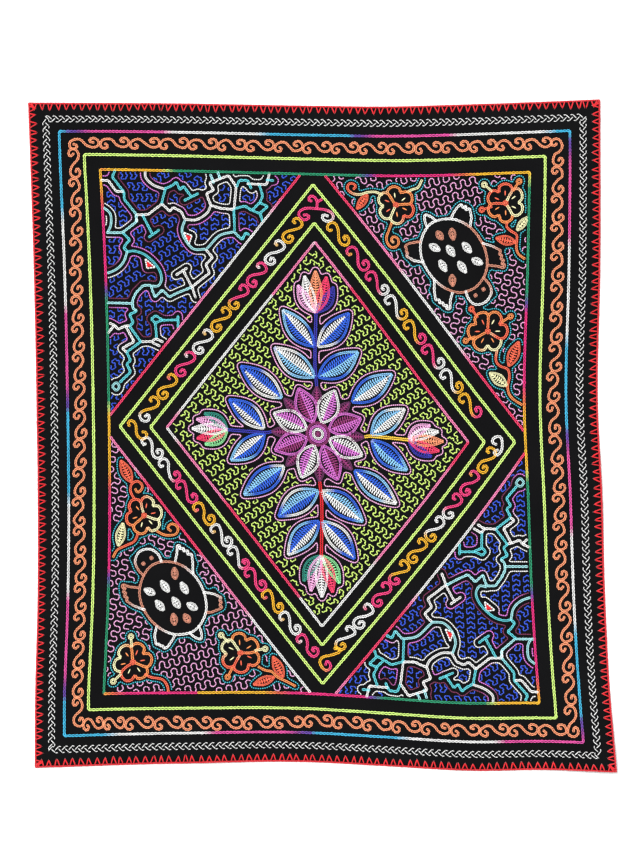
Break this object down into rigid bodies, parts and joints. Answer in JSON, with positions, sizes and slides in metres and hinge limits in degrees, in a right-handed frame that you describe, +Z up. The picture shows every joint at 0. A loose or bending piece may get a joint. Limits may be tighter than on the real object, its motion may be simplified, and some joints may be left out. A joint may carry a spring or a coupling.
{
  "type": "embroidered cloth",
  "caption": "Flat black cotton cloth with a red stitched edge, chain-stitched border lines and an embroidered diamond in its middle, to lay on a table or hang.",
  "frame": {"origin": "centre of the bounding box at its lowest face, on the surface that the cloth lies on", "axes": "+Y towards the top edge of the design, +X towards its right edge, +Z up out of the embroidered side"},
  "size_m": [0.6182, 0.7069, 0.0066],
  "materials": {
    "black_cotton": "matt plain-weave black cotton",
    "red_yarn": "matt twisted red cotton yarn",
    "sky_yarn": "matt twisted cotton yarn, dyed blue, violet, pink and white along its length",
    "lime_yarn": "matt twisted lime cotton yarn",
    "amber_yarn": "matt twisted cotton yarn, dyed amber, green, violet, magenta and coral along its length",
    "rose_yarn": "matt twisted cotton yarn, dyed rose, pink and white along its length"
  },
  "bodies": {
    "root": {"cloth": "black_cotton", "edge_yarn": "red_yarn", "outer_line": "sky_yarn", "lime_line": "lime_yarn", "square_line": "amber_yarn", "diamond_outer_line": "rose_yarn", "diamond_lime_outer": "lime_yarn", "diamond_lime_inner": "lime_yarn", "diamond_inner_line": "rose_yarn"}
  },
  "joints": []
}
